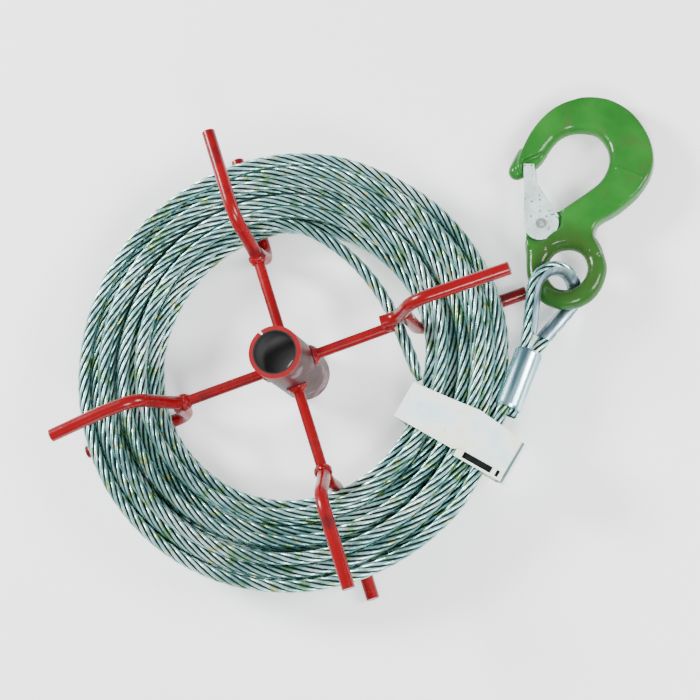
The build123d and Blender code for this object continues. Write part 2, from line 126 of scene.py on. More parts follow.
# ---- the rope's route -----------------------------------------------------------------------
ferrule_axis = (FERRULE_TOP - FERRULE_BOTTOM).normalized()
eye_axis = Vector((0.66, 0.75, -0.02)).normalized()
level_side = Vector((0, 0, 1)).cross(eye_axis).normalized()
eye_side = level_side * math.cos(EYE_TILT) + eye_axis.cross(level_side) * math.sin(EYE_TILT)
splice_side = (eye_side - ferrule_axis * eye_side.dot(ferrule_axis)).normalized()

# The free end's route, and its tip, in metres.
TAIL_ROUTE = [(0.062, 0.1065, 0.040), (0.0805, 0.079, 0.039), (0.093, 0.050, 0.038),
              (0.1003, 0.019, 0.038), (0.1036, -0.013, 0.038), (0.1046, -0.0365, 0.0385)]
TAIL_TIP = (0.1052, -0.0515, 0.0388)
# The eye's route in its own plane, along its axis and across it, in metres.
EYE_ROUTE = [(0, 0.0054), (0.020, 0.0108), (0.0576, 0.0257), (0.0751, 0.0178), (0.0823, 0),
             (0.0751, -0.0178), (0.0576, -0.0257), (0.020, -0.0108), (0, -0.0054)]
# From the coil to the ferrule, in millimetres.
LEAD_ROUTE = [Vector((124.5, -154.5, 48.5)), Vector((148.0, -130.0, 47.5))]

# Where each turn of the coil lies: its radius and height, in the order in which it was wound.
TURN_PLACES = [(127, 31), (127, 18.5), (139, 18.5), (151, 18.5), (163, 18.5), (175, 18.5), (187, 18.5),
               (199, 22), (187, 30), (175, 30), (163, 30), (151, 30), (139, 30), (139, 42), (163, 42),
               (175, 42), (177, 53), (188, 42), (200, 34), (200, 46)]
POINTS_PER_TURN = 24
FIRST_AZIMUTH = 75.0
COIL_POINTS = 19 * POINTS_PER_TURN + 16     # the last turn is two thirds of a turn
CHANGE_OVER = 0.14              # the part of a turn that moving to the next place takes
INNER_HOME = 124.4              # the radii in TURN_PLACES that stand for the coil's two edges
OUTER_HOME = 201.5
WANDER_ACROSS = 2.6             # how far a turn strays from its place
WANDER_UP = 1.2
CLEAR = ROPE_D + 0.15           # between two turns' centrelines
LOWEST = COIL_BOTTOM + ROPE_R
HIGHEST = COIL_TOP - ROPE_R
RELAX_STEPS = 90
SMOOTHING_STEPS = 70            # the last steps only push, and don't smooth
SMOOTHING = 0.18

ARM_ROOTS = (129.0, 126.0, 126.0, 126.0)    # where each arm's prongs leave room for the coil
ARM_REACHES = 16.0              # degrees on each side
CLEAR_OF_ARMS = 114.0
BAND_PULL = 14.0                # how far the band pulls the outer turns in
BAND_MIDDLE = -38.0             # its azimuth
BAND_REACHES = 16.0

# The smallest and largest radius of a turn's centreline, at every 20 degrees of azimuth.
INNER_EDGE = (121.0, 125.3, 130.5, 129.5, 136.5, 139.5, 138.5, 138.0, 136.5,
              135.0, 125.0, 119.5, 117.0, 114.5, 113.5, 113.0, 113.0, 117.0)
OUTER_EDGE = (197.2, 195.2, 190.2, 192.5, 193.0, 192.5, 197.5, 200.0, 198.5,
              200.5, 205.8, 205.2, 203.0, 200.5, 206.0, 205.0, 200.0, 197.0)


def edge_at(edge, azimuth):
    """A value between those that an edge's list gives for the azimuths on each side."""
    step = 360 / len(edge)
    place = (azimuth % 360) / step
    index = int(place)
    share = smoothstep(place - index)
    return edge[index] * (1 - share) + edge[(index + 1) % len(edge)] * share


def inner_limit(azimuth):
    """The smallest radius of a turn's centreline, which the prongs' roots hold out."""
    limit = edge_at(INNER_EDGE, azimuth)
    for arm, root in zip(ARM_AZIMUTHS, ARM_ROOTS):
        near = bump_at(azimuth, arm, ARM_REACHES)
        limit = max(limit, root * near + CLEAR_OF_ARMS * (1 - near))
    return limit


def outer_limit(azimuth):
    """The largest radius of a turn's centreline, which the band pulls in."""
    return edge_at(OUTER_EDGE, azimuth) - BAND_PULL * bump_at(azimuth, BAND_MIDDLE, BAND_REACHES)


def coil_points():
    """The coil's control points: even steps round the axis, pushed apart where they meet."""
    chance = random.Random(7)
    waves = [[(chance.uniform(0, TAU), chance.uniform(0.3, 1.0)) for _ in range(3)] for _ in TURN_PLACES]
    rings = []
    for index in range(COIL_POINTS):
        azimuth = FIRST_AZIMUTH + index * 360 / POINTS_PER_TURN
        turns = index / POINTS_PER_TURN
        place = min(int(turns), len(TURN_PLACES) - 1)
        following = min(place + 1, len(TURN_PLACES) - 1)
        change = smoothstep((turns - place - 1 + CHANGE_OVER) / CHANGE_OVER)
        radius, height = (here * (1 - change) + there * change
                          for here, there in zip(TURN_PLACES[place], TURN_PLACES[following]))
        phi = math.radians(azimuth)
        for wave, (phase, size) in enumerate(waves[place], start=1):
            radius += WANDER_ACROSS * size / wave * math.sin(wave * phi + phase)
            height += WANDER_UP * size / wave * math.sin(wave * phi + 2 * phase)
        rings.append([azimuth, radius, height])
    for point in rings:
        share = (point[1] - INNER_HOME) / (OUTER_HOME - INNER_HOME)
        low = inner_limit(point[0])
        point[1] = low + share * (outer_limit(point[0]) - low)
    relax(rings)
    swell = 2 / (1 + math.cos(math.pi / POINTS_PER_TURN))
    return [Vector((radius * swell * math.cos(math.radians(azimuth)),
                    radius * swell * math.sin(math.radians(azimuth)), height))
            for azimuth, radius, height in rings]


def relax(rings):
    """Push turns apart in each slice across the coil, and keep each turn smooth."""
    for step in range(RELAX_STEPS):
        for start in range(POINTS_PER_TURN):
            slice_points = rings[start::POINTS_PER_TURN]
            for i, one in enumerate(slice_points):
                for two in slice_points[i + 1:]:
                    across = one[1] - two[1]
                    up = one[2] - two[2]
                    apart = math.hypot(across, up)
                    if apart < CLEAR:
                        push = (CLEAR - apart) / 2 / max(apart, 0.01)
                        one[1] += across * push
                        one[2] += up * push
                        two[1] -= across * push
                        two[2] -= up * push
            for point in slice_points:
                point[1] = min(max(point[1], inner_limit(point[0])), outer_limit(point[0]))
                point[2] = min(max(point[2], LOWEST), HIGHEST)
        if step < SMOOTHING_STEPS:
            keep = [(point[1], point[2]) for point in rings]
            for i in range(1, len(rings) - 1):
                for axis in (0, 1):
                    middle = (keep[i - 1][axis] + keep[i + 1][axis]) / 2
                    rings[i][axis + 1] += SMOOTHING * (middle - keep[i][axis])


def rope_points():
    """The whole rope from its free inner tip to the short end under the ferrule, in millimetres."""
    route = [Vector(TAIL_TIP) / MM] + [Vector(p) / MM for p in reversed(TAIL_ROUTE)]
    route += coil_points()
    lead_bottom = FERRULE_BOTTOM + splice_side * SPLICE_OFFSET
    lead_top = FERRULE_TOP + splice_side * SPLICE_OFFSET
    route += LEAD_ROUTE + [lead_bottom, lead_bottom.lerp(lead_top, 0.55)]
    route += [FERRULE_TOP + (eye_axis * along + eye_side * across) / MM for along, across in EYE_ROUTE]
    back_bottom = FERRULE_BOTTOM - splice_side * SPLICE_OFFSET
    back_top = FERRULE_TOP - splice_side * SPLICE_OFFSET
    route += [back_top.lerp(back_bottom, 0.45), back_bottom, back_bottom - ferrule_axis * DEAD_END_LENGTH]
    return route


def smooth_line(route, name):
    """Points in millimetres along the NURBS spline that has the route as its control points."""
    curve = bpy.data.curves.new(name, "CURVE")
    curve.dimensions = "3D"
    spline = curve.splines.new("NURBS")
    spline.points.add(len(route) - 1)
    for point, place in zip(spline.points, route):
        point.co = (*(place * MM), 1)
    spline.order_u = 3
    spline.use_endpoint_u = True
    spline.resolution_u = LINE_RESOLUTION
    obj = bpy.data.objects.new(name, curve)
    bpy.context.scene.collection.objects.link(obj)
    bpy.context.view_layer.update()
    line = bpy.data.meshes.new_from_object(obj)
    points = [v.co / MM for v in line.vertices]
    bpy.data.objects.remove(obj)
    bpy.data.curves.remove(curve)
    bpy.data.meshes.remove(line)
    return points


def even_steps(points, step):
    """The same line with points at even steps along it."""
    out = [points[0].copy()]
    left = step
    for one, two in zip(points, points[1:]):
        run = (two - one).length
        done = 0.0
        while run - done >= left:
            done += left
            out.append(one.lerp(two, done / run))
            left = step
        left -= run - done
    if (out[-1] - points[-1]).length > step * 0.3:
        out.append(points[-1].copy())
    else:
        out[-1] = points[-1].copy()
    return out


def line_sides(points):
    """Two directions across the line at each point, carried along without twisting."""
    sides = []
    side = None
    for i in range(len(points)):
        ahead = (points[min(i + 1, len(points) - 1)] - points[max(i - 1, 0)]).normalized()
        if side is None:
            side = ahead.orthogonal().normalized()
        side = (side - ahead * side.dot(ahead)).normalized()
        sides.append((side, ahead.cross(side)))
    return sides


def strand_outline(degrees):
    """The rope's radius at an angle from the middle of a strand."""
    strand_r = ROPE_D / 6
    centre_r = ROPE_D / 3
    phi = math.radians(degrees)
    inside = max(strand_r ** 2 - (centre_r * math.sin(phi)) ** 2, 0.0)
    return centre_r * math.cos(phi) + math.sqrt(inside)


def rope_mesh(points):
    """The rope's six strands twisted round the line, and the rope's length in millimetres."""
    profile = []
    for strand in range(STRANDS):
        for degrees in STRAND_ANGLES:
            angle = math.radians(strand * 360 / STRANDS + degrees)
            profile.append((angle, strand_outline(degrees)))
    count = len(profile)
    verts = []
    grooves = []
    travelled = 0.0
    for i, (point, (side, other)) in enumerate(zip(points, line_sides(points))):
        if i:
            travelled += (point - points[i - 1]).length
        twist = TAU * travelled / LAY
        thin = TIP_THINNESS + (1 - TIP_THINNESS) * smoothstep(travelled / TIP_TAPER)
        for angle, radius in profile:
            turn = angle + twist
            verts.append(point + (side * math.cos(turn) + other * math.sin(turn)) * radius * thin)
            grooves.append(smoothstep((ROPE_R - radius) / (ROPE_R - strand_outline(STRAND_HALF_ANGLE))))
    faces = []
    for i in range(len(points) - 1):
        for j in range(count):
            k = (j + 1) % count
            faces.append((i * count + j, i * count + k, (i + 1) * count + k, (i + 1) * count + j))
    faces.append(tuple(reversed(range(count))))
    faces.append(tuple((len(points) - 1) * count + j for j in range(count)))
    obj = new_mesh("steel_rope", verts, faces)
    groove = obj.data.attributes.new("groove", "FLOAT", "POINT")
    groove.data.foreach_set("value", grooves)
    return obj, travelled


route = rope_points()
rope_line = even_steps(smooth_line(route, "rope_line"), SECTION_STEP)
rope, rope_length = rope_mesh(rope_line)
print("rope length in mm:", round(rope_length), "sections:", len(rope_line))


# ---- materials ------------------------------------------------------------------------------
# Places and sizes that the materials use, in metres.
CUT_ENDS_FROM = 0.21875         # from the reel's axis
HUB_R = 0.024
HEIGHT_TO_RAMP = 8.0            # fits the hub's height into a ramp's 0 to 1
FROM_EYE_TO_RAMP = 10.0         # and the distance from the hook's eye
STREAK_STRETCH = 0.88           # how much a streak is drawn out along its axis, up to 1
BAND_ORIGIN = (0.0919, -0.0707, 0.0)
BAND_AZIMUTH = math.radians(-48.6)
FACE_END = 0.1105               # along the band, and so are the next three
STEP_SHADE_SPAN = 0.005
CLIP_MIDDLE = 0.1005
CLIP_HALF = 0.0022


def new_material(name, **values):
    """A material with a Principled shader, whose even values are set on its sockets."""
    material = bpy.data.materials.new(name)
    material.use_nodes = True
    shader = material.node_tree.nodes["Principled BSDF"]
    for key, value in values.items():
        shader.inputs[key.replace("_", " ")].default_value = value
    return material, material.node_tree, shader


def add_node(tree, kind, inputs=None, **settings):
    """A node with its settings, whose inputs are set to values or linked to sockets."""
    node = tree.nodes.new(kind)
    for key, value in settings.items():
        setattr(node, key, value)
    for key, value in (inputs or {}).items():
        if isinstance(value, bpy.types.NodeSocket):
            tree.links.new(value, node.inputs[key])
        else:
            node.inputs[key].default_value = value
    return node


def place(tree):
    """The point on the object, in metres, which stays with it when it moves."""
    return tree.nodes.new("ShaderNodeTexCoord").outputs["Object"]


def noise_at(tree, scale, detail=3.0, vector=None):
    """Noise with about this many lumps in a metre."""
    inputs = {"Scale": scale, "Detail": detail, "Vector": vector or place(tree)}
    return add_node(tree, "ShaderNodeTexNoise", inputs).outputs["Fac"]


def ramp(tree, value, stops):
    """Colours or greys along a value: stops are (position, colour)."""
    node = add_node(tree, "ShaderNodeValToRGB", {"Fac": value})
    elements = node.color_ramp.elements
    while len(elements) < len(stops):
        elements.new(0.5)
    for element, (position, colour) in zip(elements, stops):
        element.position = position
        element.color = (*colour, 1)
    return node.outputs["Color"]


def grey(level):
    """The colour with this much of red, green and blue."""
    return (level, level, level)


def blend(tree, factor, one, two, mode="MIX"):
    """One colour, changed to the other as far as the factor says."""
    node = add_node(tree, "ShaderNodeMix", data_type="RGBA", blend_type=mode)
    for index, value in ((0, factor), (6, one), (7, two)):
        if isinstance(value, bpy.types.NodeSocket):
            tree.links.new(value, node.inputs[index])
        elif index == 0:
            node.inputs[index].default_value = value
        else:
            node.inputs[index].default_value = (*value, 1)
    return node.outputs[2]


def vector_node(tree, operation, output, inputs):
    """The named output of a vector maths node."""
    return add_node(tree, "ShaderNodeVectorMath", inputs, operation=operation).outputs[output]


def place_parts(tree):
    """The place's x, y and z."""
    return add_node(tree, "ShaderNodeSeparateXYZ", {"Vector": place(tree)}).outputs


def math_node(tree, operation, *values):
    """The result of a maths node on values or sockets."""
    node = add_node(tree, "ShaderNodeMath", operation=operation)
    for index, value in enumerate(values):
        if isinstance(value, bpy.types.NodeSocket):
            tree.links.new(value, node.inputs[index])
        else:
            node.inputs[index].default_value = value
    return node.outputs[0]


def bump(tree, shader, height, distance, strength):
    """Bumps of up to distance, in metres, on the shader's surface."""
    inputs = {"Height": height, "Distance": distance, "Strength": strength}
    node = add_node(tree, "ShaderNodeBump", inputs)
    tree.links.new(node.outputs["Normal"], shader.inputs["Normal"])


def red_paint():
    """Red, dulled in places, and bare dark steel at the prongs' cut ends."""
    material, tree, shader = new_material("red_paint", Metallic=0.0, Coat_Weight=0.25, Coat_Roughness=0.08,
                                          Specular_IOR_Level=0.2)
    wear = noise_at(tree, 42, 5)
    colour = ramp(tree, noise_at(tree, 9, 3), [(0.3, (0.16, 0.0003, 0.002)), (0.7, (0.24, 0.0006, 0.004))])
    dull = blend(tree, ramp(tree, wear, [(0.56, grey(0)), (0.72, grey(1))]), colour, (0.085, 0.002, 0.005))
    parts = place_parts(tree)
    squares = [math_node(tree, "MULTIPLY", part, part) for part in parts[:2]]
    from_axis = math_node(tree, "SQRT", math_node(tree, "ADD", *squares))
    cut_end = math_node(tree, "GREATER_THAN", from_axis, CUT_ENDS_FROM)
    tree.links.new(blend(tree, cut_end, dull, (0.09, 0.085, 0.085)), shader.inputs["Base Color"])
    tree.links.new(ramp(tree, wear, [(0.3, grey(0.20)), (0.7, grey(0.34))]), shader.inputs["Roughness"])
    bump(tree, shader, noise_at(tree, 260, 4), 0.00025, 0.5)
    return material


def rope_steel():
    """Bright strands with grooves darkened by painted shade, partly grease; cooler and darker in places, with
    flecks of grease.
    """
    material, tree, shader = new_material("rope_steel", Metallic=0.7)
    groove = add_node(tree, "ShaderNodeAttribute", attribute_name="groove").outputs["Fac"]
    tint = noise_at(tree, 24, 5)
    bright = ramp(tree, tint, [(0.36, (0.18, 0.40, 0.40)), (0.5, (0.39, 0.74, 0.73)),
                               (0.62, (0.70, 0.99, 0.97))])
    moss = ramp(tree, noise_at(tree, 75, 3), [(0.54, grey(0)), (0.66, grey(0.85))])
    flecks = ramp(tree, noise_at(tree, 150, 2), [(0.61, grey(0)), (0.68, grey(0.85))])
    mossy = blend(tree, moss, bright, (0.14, 0.36, 0.10))
    coloured = blend(tree, flecks, mossy, (0.72, 0.74, 0.26))
    # Painted shade, partly grease: the deeper a point lies in a groove between strands, the nearer to black
    # it is.
    dark = ramp(tree, groove, [(0.04, grey(0)), (0.48, grey(1))])
    base = blend(tree, dark, coloured, (0.006, 0.020, 0.020))
    tree.links.new(base, shader.inputs["Base Color"])
    tree.links.new(ramp(tree, groove, [(0.1, grey(0.24)), (0.7, grey(0.8))]), shader.inputs["Roughness"])
    bump(tree, shader, noise_at(tree, 900, 3), 0.0002, 0.5)
    return material


def plain_steel():
    """Mottled grey steel, for the pin and the spring."""
    material, tree, shader = new_material("fitting_steel", Metallic=0.9)
    mottle = noise_at(tree, 60, 4)
    colour = ramp(tree, mottle, [(0.35, (0.462, 0.504, 0.504)), (0.65, (0.66, 0.72, 0.72))])
    tree.links.new(colour, shader.inputs["Base Color"])
    tree.links.new(ramp(tree, mottle, [(0.3, grey(0.22)), (0.7, grey(0.38))]), shader.inputs["Roughness"])
    bump(tree, shader, noise_at(tree, 420, 3), 0.0002, 0.4)
    return material


def streaked_metal(name, axis, dark, mid, bright, rough):
    """Metal drawn or pressed along an axis, with long faint streaks."""
    material, tree, shader = new_material(name, Metallic=0.9)
    point = place(tree)
    along = vector_node(tree, "DOT_PRODUCT", "Value", {0: point, 1: tuple(axis)})
    run = vector_node(tree, "SCALE", "Vector", {0: tuple(axis), "Scale": along})
    most = vector_node(tree, "SCALE", "Vector", {0: run, "Scale": STREAK_STRETCH})
    squeezed = vector_node(tree, "SUBTRACT", "Vector", {0: point, 1: most})
    streaks = noise_at(tree, 150, 4, squeezed)
    colour = ramp(tree, streaks, [(0.34, dark), (0.5, mid), (0.66, bright)])
    tree.links.new(colour, shader.inputs["Base Color"])
    gloss = ramp(tree, streaks, [(0.3, grey(rough + 0.10)), (0.7, grey(rough))])
    tree.links.new(gloss, shader.inputs["Roughness"])
    bump(tree, shader, streaks, 0.0003, 0.4)
    return material


def speckled_zinc():
    """Pale zinc plate with small dark pits."""
    material, tree, shader = new_material("latch_zinc", Metallic=0.25, Roughness=0.42)
    plate = ramp(tree, noise_at(tree, 70, 4), [(0.32, (0.42, 0.56, 0.53)), (0.6, (0.68, 0.84, 0.80))])
    pits = ramp(tree, noise_at(tree, 330, 3), [(0.62, grey(0)), (0.67, grey(0.95))])
    tree.links.new(blend(tree, pits, plate, (0.05, 0.08, 0.07)), shader.inputs["Base Color"])
    bump(tree, shader, noise_at(tree, 300, 3), 0.0003, 0.5)
    return material


def hub_paint():
    """Red on the rim and above the spokes; elsewhere on the wall a dull mauve grey, partly wear and partly
    painted glare and shade, its pale patches painted glare.
    """
    material, tree, shader = new_material("hub_paint", Metallic=0.0, Roughness=0.5, Specular_IOR_Level=0.25)
    parts = place_parts(tree)
    patches = noise_at(tree, 38, 5)
    red = ramp(tree, patches, [(0.3, (0.18, 0.0004, 0.003)), (0.7, (0.25, 0.0008, 0.004))])
    # Painted glare and shade, partly wear: the dark mauve greys stand for the wall in shade, the pale stop
    # for its glare.
    worn_glare_and_shade = ramp(tree, patches, [(0.38, (0.030, 0.009, 0.010)), (0.55, (0.055, 0.018, 0.020)),
                                (0.68, (0.22, 0.14, 0.16))])
    ragged = math_node(tree, "ADD", parts[2], math_node(tree, "MULTIPLY", patches, 0.012))
    height = math_node(tree, "MULTIPLY", ragged, HEIGHT_TO_RAMP)
    rim = ramp(tree, height, [(0.86, grey(0)), (0.885, grey(1))])
    product = math_node(tree, "ABSOLUTE", math_node(tree, "MULTIPLY", parts[0], parts[1]))
    off_arm = math_node(tree, "DIVIDE", product, HUB_R ** 2)
    above = ramp(tree, math_node(tree, "ADD", off_arm, math_node(tree, "MULTIPLY", patches, 0.3)),
                 [(0.32, grey(1)), (0.40, grey(0))])
    high = ramp(tree, height, [(0.44, grey(0)), (0.50, grey(1))])
    run = blend(tree, 1.0, above, high, "MULTIPLY")
    stained = blend(tree, run, worn_glare_and_shade, (0.09, 0.003, 0.005))
    tree.links.new(blend(tree, rim, stained, red), shader.inputs["Base Color"])
    bump(tree, shader, noise_at(tree, 150, 4), 0.0004, 0.6)
    return material


def black_sleeve():
    """Black at its rim, and lighter further in, which is painted light that evens out the shade deeper in the
    bore.
    """
    material, tree, shader = new_material("black_sleeve", Roughness=0.9, Specular_IOR_Level=0.1)
    height = math_node(tree, "MULTIPLY", place_parts(tree)[2], HEIGHT_TO_RAMP)
    # Painted light: the grey rises deeper in the bore, where less light reaches, so that the bore looks
    # evenly dark.
    painted_light_deeper_in = ramp(tree, height, [(0.0, grey(0.26)), (0.25, grey(0.38)), (0.50, grey(0.22)), (0.70, grey(0.06)),
                                (0.88, grey(0.015))])
    tree.links.new(painted_light_deeper_in, shader.inputs["Base Color"])
    bump(tree, shader, noise_at(tree, 300, 3), 0.0002, 0.5)
    return material


def green_paint():
    """Green, rubbed in places, and darker olive round the eye."""
    material, tree, shader = new_material("green_paint", Metallic=0.0, Coat_Weight=0.36, Coat_Roughness=0.12,
                                          Specular_IOR_Level=0.06)
    colour = ramp(tree, noise_at(tree, 22, 4), [(0.3, (0.009, 0.095, 0.011)), (0.7, (0.024, 0.165, 0.022))])
    rubbed = ramp(tree, noise_at(tree, 48, 5), [(0.56, grey(0)), (0.70, grey(0.35))])
    painted = blend(tree, rubbed, colour, (0.055, 0.075, 0.025))
    from_eye = vector_node(tree, "DISTANCE", "Value", {0: place(tree), 1: tuple(HOOK_CENTRE * MM)})
    ragged = math_node(tree, "ADD", from_eye, math_node(tree, "MULTIPLY", noise_at(tree, 70, 3), 0.012))
    # Darker olive nearer the eye's middle.
    darker_round_eye = ramp(tree, math_node(tree, "MULTIPLY", ragged, FROM_EYE_TO_RAMP),
                  [(0.34, grey(0.75)), (0.54, grey(0))])
    tree.links.new(blend(tree, darker_round_eye, painted, (0.026, 0.052, 0.010)), shader.inputs["Base Color"])
    gloss = ramp(tree, noise_at(tree, 35), [(0.3, grey(0.24)), (0.7, grey(0.38))])
    tree.links.new(gloss, shader.inputs["Roughness"])
    bump(tree, shader, noise_at(tree, 130, 4), 0.0004, 0.5)
    return material


def along_band(tree):
    """How far along the band a point lies, in metres."""
    axis = (math.cos(BAND_AZIMUTH), math.sin(BAND_AZIMUTH), 0.0)
    from_origin = vector_node(tree, "SUBTRACT", "Vector", {0: place(tree), 1: BAND_ORIGIN})
    return vector_node(tree, "DOT_PRODUCT", "Value", {0: from_origin, 1: axis})


def white_band():
    """Off-white strip with faint stains and specks, and painted shade in the step where its face ends."""
    material, tree, shader = new_material("white_band", Metallic=0.0, Roughness=0.42)
    stains = [(0.36, (0.85, 0.86, 0.60)), (0.5, (0.82, 0.91, 0.86)), (0.64, (0.62, 0.84, 0.89))]
    stained = ramp(tree, noise_at(tree, 30, 5), stains)
    specks = ramp(tree, noise_at(tree, 210, 2), [(0.66, grey(0)), (0.72, grey(0.5))])
    colour = blend(tree, specks, stained, (0.52, 0.56, 0.30))
    waver = math_node(tree, "MULTIPLY", noise_at(tree, 60, 2), 0.0012)
    wavy = math_node(tree, "ADD", along_band(tree), waver)
    past_end = math_node(tree, "DIVIDE", math_node(tree, "SUBTRACT", wavy, FACE_END), STEP_SHADE_SPAN)
    # Painted shade: a dark strip just past the face's end, where the step's shadow falls.
    step_shade = ramp(tree, past_end, [(0.0, grey(0)), (0.10, grey(0.9)), (0.45, grey(0.9)), (0.60, grey(0))])
    tree.links.new(blend(tree, step_shade, colour, (0.03, 0.09, 0.09)), shader.inputs["Base Color"])
    bump(tree, shader, noise_at(tree, 70, 3), 0.0006, 0.5)
    return material


def slot_shade_plate():
    """Black plate behind the band's slot, painted shade that stands in for the dark gap under the band, with
    the bright clip that crosses it.
    """
    material, tree, shader = new_material("slot_shade_plate", Metallic=0.0, Roughness=0.7, Specular_IOR_Level=0.05)
    mottle = noise_at(tree, 160, 4)
    # Painted shade: near-black for the gap seen through the slot.
    slot_gap_shade = ramp(tree, mottle, [(0.35, (0.002, 0.003, 0.003)), (0.65, (0.010, 0.012, 0.011))])
    zinc = ramp(tree, mottle, [(0.35, (0.40, 0.48, 0.46)), (0.65, (0.80, 0.88, 0.86))])
    off_clip = math_node(tree, "ABSOLUTE", math_node(tree, "SUBTRACT", along_band(tree), CLIP_MIDDLE))
    on_clip = math_node(tree, "LESS_THAN", off_clip, CLIP_HALF)
    tree.links.new(blend(tree, on_clip, slot_gap_shade, zinc), shader.inputs["Base Color"])
    bump(tree, shader, mottle, 0.0002, 0.4)
    return material


RED = red_paint()
HUB = hub_paint()
SLEEVE = black_sleeve()
GREEN = green_paint()
ROPE = rope_steel()
ZINC = speckled_zinc()
THIMBLE = streaked_metal("thimble_zinc", eye_axis, (0.10, 0.16, 0.19), (0.25, 0.37, 0.43),
                         (0.46, 0.60, 0.66), 0.30)
ALUMINIUM = streaked_metal("ferrule_aluminium", ferrule_axis, (0.11, 0.22, 0.26), (0.30, 0.53, 0.61),
                           (0.68, 0.88, 0.94), 0.20)
STEEL = plain_steel()
BAND = white_band()
SLOT_SHADE_PLATE = slot_shade_plate()

NODE_MATERIALS = {"hub_tube": HUB, "hub_liner": SLEEVE, "latch": ZINC, "latch_pin": STEEL,
                  "latch_spring": STEEL, "thimble": THIMBLE, "ferrule": ALUMINIUM,
                  "retaining_band": BAND, "band_clip": SLOT_SHADE_PLATE}


def paint_nodes():
    """Give every CAD node its material."""
    for name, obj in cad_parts.items():
        material = NODE_MATERIALS.get(name, RED)
        if not obj.material_slots:
            obj.data.materials.append(material)
        for material_slot in obj.material_slots:
            material_slot.material = material


paint_nodes()


# ---- the hook, with the soft edges of a forging ---------------------------------------------
hook_length = Vector((math.cos(HOOK_HEADING) * math.cos(HOOK_DROP),
                      math.sin(HOOK_HEADING) * math.cos(HOOK_DROP), -math.sin(HOOK_DROP)))
hook_right = Vector((math.sin(HOOK_HEADING), -math.cos(HOOK_HEADING), 0))
hook_up = hook_right.cross(hook_length)


def evaluated_mesh(obj):
    """The object's mesh with its modifiers applied."""
    graph = bpy.context.evaluated_depsgraph_get()
    return bpy.data.meshes.new_from_object(obj.evaluated_get(graph))


def hook_place(right, length):
    """A point in millimetres from its place in the hook's own plane."""
    return HOOK_CENTRE + hook_right * right + hook_length * length


def add_balls(obj, balls):
    """Add balls to a mesh, given as (middle in millimetres, radius), for the remesh to join on."""
    mesh = bmesh.new()
    mesh.from_mesh(obj.data)
    for middle, radius in balls:
        at = Matrix.Translation(middle * MM)
        bmesh.ops.create_icosphere(mesh, subdivisions=3, radius=radius * MM, matrix=at)
    mesh.to_mesh(obj.data)
    mesh.free()


def remeshed(obj, voxel):
    """Make the object's mesh anew from voxels, which joins overlapping shells."""
    remesh = obj.modifiers.new("remesh", "REMESH")
    remesh.mode = "VOXEL"
    remesh.voxel_size = voxel
    obj.data = evaluated_mesh(obj)
    obj.modifiers.clear()


def smoothed(obj, weight_at, steps):
    """Smooth the mesh, as much as weight_at says at each point, given in millimetres."""
    group = obj.vertex_groups.new(name="soft")
    for vertex in obj.data.vertices:
        group.add([vertex.index], weight_at(vertex.co / MM), "REPLACE")
    smooth = obj.modifiers.new("smooth", "SMOOTH")
    smooth.vertex_group = "soft"
    smooth.factor = 1.0
    smooth.iterations = steps
    obj.data = evaluated_mesh(obj)
    obj.modifiers.clear()
    obj.vertex_groups.clear()


RING_R = 27.2
RING_BAR_R = 8.0
RING_SWELL = 3.6                # how much thicker the ring's bar is where it meets the shank
RING_SWELL_SPAN = 74.0          # degrees on each side of the shank
SHRINKAGE = 1.3                 # what smoothing takes off the ring's bar
RING_DROP = 2.0                 # how far the ring's bottom hangs below a true circle
RIB = (Vector((32.4, 96.9)), Vector((53.5, 90.1)))
RIB_HEIGHT = 1.2
TOP_FACE = 9.5                  # from the hook's middle plane to the start of its upper face
DRAFT = 2.2                     # how far the lower half of the side walls leans in, as a forging does
HOOK_VOXEL = 0.0009             # metres
HOOK_SMOOTHING = 40             # rounds of smoothing
LUG_REACH = 19.0                # how far round the latch's pivot, and round its seat, the hook
SEAT_REACH = 20.0               # keeps its shape


def hook_flat(point):
    """The place in the hook's plane of a point in millimetres."""
    away = point - HOOK_CENTRE
    return Vector((away.dot(hook_right), away.dot(hook_length)))


def ring_balls():
    """Balls along the ring's bar, larger near the shank, which make one flowing shape of the two."""
    balls = []
    for degrees in range(0, 181, 3):
        swell = RING_SWELL * smoothstep(1 - abs(degrees - 90) / RING_SWELL_SPAN)
        if swell > 0.2:
            angle = math.radians(degrees)
            out = RING_R + swell * 0.8
            middle = hook_place(out * math.cos(angle), out * math.sin(angle))
            balls.append((middle, RING_BAR_R + swell))
    return balls


def hook_softness(point):
    """Most round the eye, where the forging flows into it, and least at the latch's seat and lug."""
    flat = hook_flat(point)
    round_eye = smoothstep((46 - flat.length) / 12)
    near_lug = smoothstep((LUG_REACH - (flat - LATCH_PIVOT).length) / 5)
    near_seat = smoothstep((SEAT_REACH - (flat - LATCH_SEAT).length) / 6)
    return max(0.08, 0.32 + 0.6 * round_eye - 0.5 * near_lug - 0.2 * near_seat)


def hook_draft(flat, height):
    """How far a side wall leans in: most at its foot, and not at all at the eye, the lug and the seat."""
    off_eye = smoothstep((flat.length - 40) / 12)
    off_lug = smoothstep(((flat - LATCH_PIVOT).length - LUG_REACH) / 6)
    off_seat = smoothstep(((flat - LATCH_SEAT).length - SEAT_REACH) / 6)
    return DRAFT * smoothstep(-height / 9) * off_eye * off_lug * off_seat


def rib_height(flat):
    """How far the raised rib stands up at a place in the hook's plane."""
    run = RIB[1] - RIB[0]
    share = min(max((flat - RIB[0]).dot(run) / run.length_squared, 0), 1)
    away = (flat - RIB[0] - run * share).length
    return RIB_HEIGHT * smoothstep((2.4 - away) / 1.6)


def copy_of_node(node, name):
    """A new object with a CAD node's mesh."""
    obj = bpy.data.objects.new(name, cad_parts[node].data.copy())
    bpy.context.scene.collection.objects.link(obj)
    return obj


def dress(obj, material):
    """Shade the mesh smooth, in one material."""
    obj.data.polygons.foreach_set("use_smooth", [True] * len(obj.data.polygons))
    obj.data.materials.clear()
    obj.data.materials.append(material)


